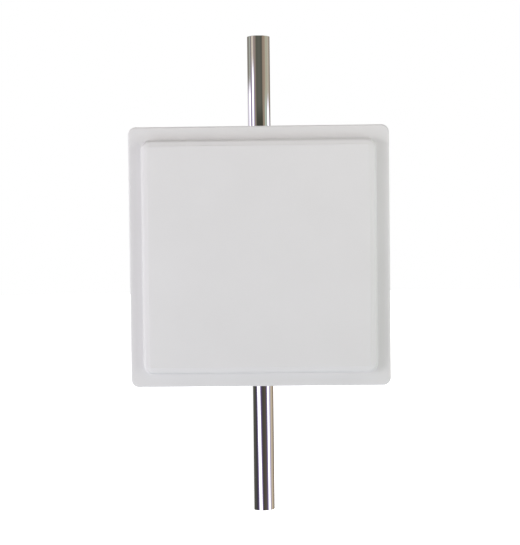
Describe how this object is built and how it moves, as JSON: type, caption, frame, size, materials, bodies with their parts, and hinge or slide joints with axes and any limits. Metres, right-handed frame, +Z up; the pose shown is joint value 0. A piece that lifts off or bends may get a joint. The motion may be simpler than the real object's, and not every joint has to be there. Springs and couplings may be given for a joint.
{
  "type": "security gate antenna panel",
  "caption": "Square flat-panel antenna of a security gate, clamped to a round chrome mast so that it slides up and down, swivels round the mast and tilts.",
  "frame": {"origin": "centre of the mast's foot end, in the mouth of its tapped hole", "axes": "+Z runs up the mast, the panel faces -Y, and +X is to the right as seen from the front"},
  "size_m": [0.445, 0.1654, 0.84],
  "materials": {
    "chrome_tube": "mirror-polished chrome plating on steel tube",
    "black_plastic": "fine-grained black polyethylene",
    "zinc_steel": "bright zinc-plated steel",
    "liner_plastic": "matt dark grey nylon",
    "cast_aluminium": "fine shot-blasted cast aluminium",
    "galvanised_sheet": "satin galvanised sheet steel",
    "radome_plastic": "fine-grained semi-matt off-white ABS",
    "seal_rubber": "matt black rubber",
    "back_aluminium": "mill-finish aluminium sheet",
    "stainless_screw": "stainless steel",
    "patch_brass": "rolled brass sheet",
    "nickel_plate": "nickel plating",
    "circuit_board": "glossy green circuit board",
    "copper_track": "bare copper",
    "pin_brass": "machined brass",
    "nylon": "natural nylon"
  },
  "bodies": {
    "mast": {"mast_tube": "chrome_tube", "top_plug": "black_plastic", "foot_bush": "zinc_steel"},
    "sleeve": {"clamp_liner": "liner_plastic"},
    "clamp": {"front_jaw_upper": "cast_aluminium", "front_jaw_lower": "cast_aluminium", "mast_bracket": "galvanised_sheet", "clamp_bolts": "zinc_steel", "clamp_bolt_washers": "zinc_steel", "pivot_bolts": "zinc_steel", "pivot_washers": "zinc_steel", "pivot_nuts": "zinc_steel", "lock_bolts": "zinc_steel", "lock_washers": "zinc_steel", "lock_nuts": "zinc_steel"},
    "upper_jaw": {"rear_jaw_upper": "cast_aluminium", "upper_jaw_washers": "zinc_steel", "upper_jaw_nuts": "zinc_steel"},
    "lower_jaw": {"rear_jaw_lower": "cast_aluminium", "lower_jaw_washers": "zinc_steel", "lower_jaw_nuts": "zinc_steel"},
    "panel": {"radome": "radome_plastic", "gasket": "seal_rubber", "back_plate": "back_aluminium", "cover_screws": "stainless_screw", "patch_upper_left": "patch_brass", "patch_upper_right": "patch_brass", "patch_lower_left": "patch_brass", "patch_lower_right": "patch_brass", "patch_posts": "nickel_plate", "patch_screws": "stainless_screw", "feed_board": "circuit_board", "feed_lines": "copper_track", "feed_pins": "pin_brass", "board_spacers": "nylon", "connector_body": "nickel_plate", "connector_insulator": "nylon", "connector_contact": "pin_brass", "connector_screws": "stainless_screw", "vent_plug": "black_plastic", "vent_seal": "seal_rubber", "earth_screw": "pin_brass", "earth_washers": "pin_brass", "mount_studs": "zinc_steel", "left_hinge_bracket": "galvanised_sheet", "right_hinge_bracket": "galvanised_sheet", "stud_washers": "zinc_steel", "stud_spring_washers": "zinc_steel", "stud_nuts": "zinc_steel"}
  },
  "joints": [
    {"name": "height_slide", "type": "slide", "parent": "mast", "child": "sleeve", "axis": [0, 0, 1], "range_m": [-0.22, 0.32]},
    {"name": "azimuth_swivel", "type": "hinge", "parent": "sleeve", "child": "clamp", "pos_m": [0, 0, 0.453], "axis": [0, 0, 1], "continuous": true},
    {"name": "tilt_hinge", "type": "hinge", "parent": "clamp", "child": "panel", "pos_m": [0, -0.06, 0.453], "axis": [1, 0, 0], "range_deg": [-15, 15]},
    {"name": "upper_jaw_open", "type": "slide", "parent": "clamp", "child": "upper_jaw", "axis": [0, 1, 0], "range_m": [0, 0.012]},
    {"name": "lower_jaw_open", "type": "slide", "parent": "clamp", "child": "lower_jaw", "axis": [0, 1, 0], "range_m": [0, 0.012]}
  ]
}
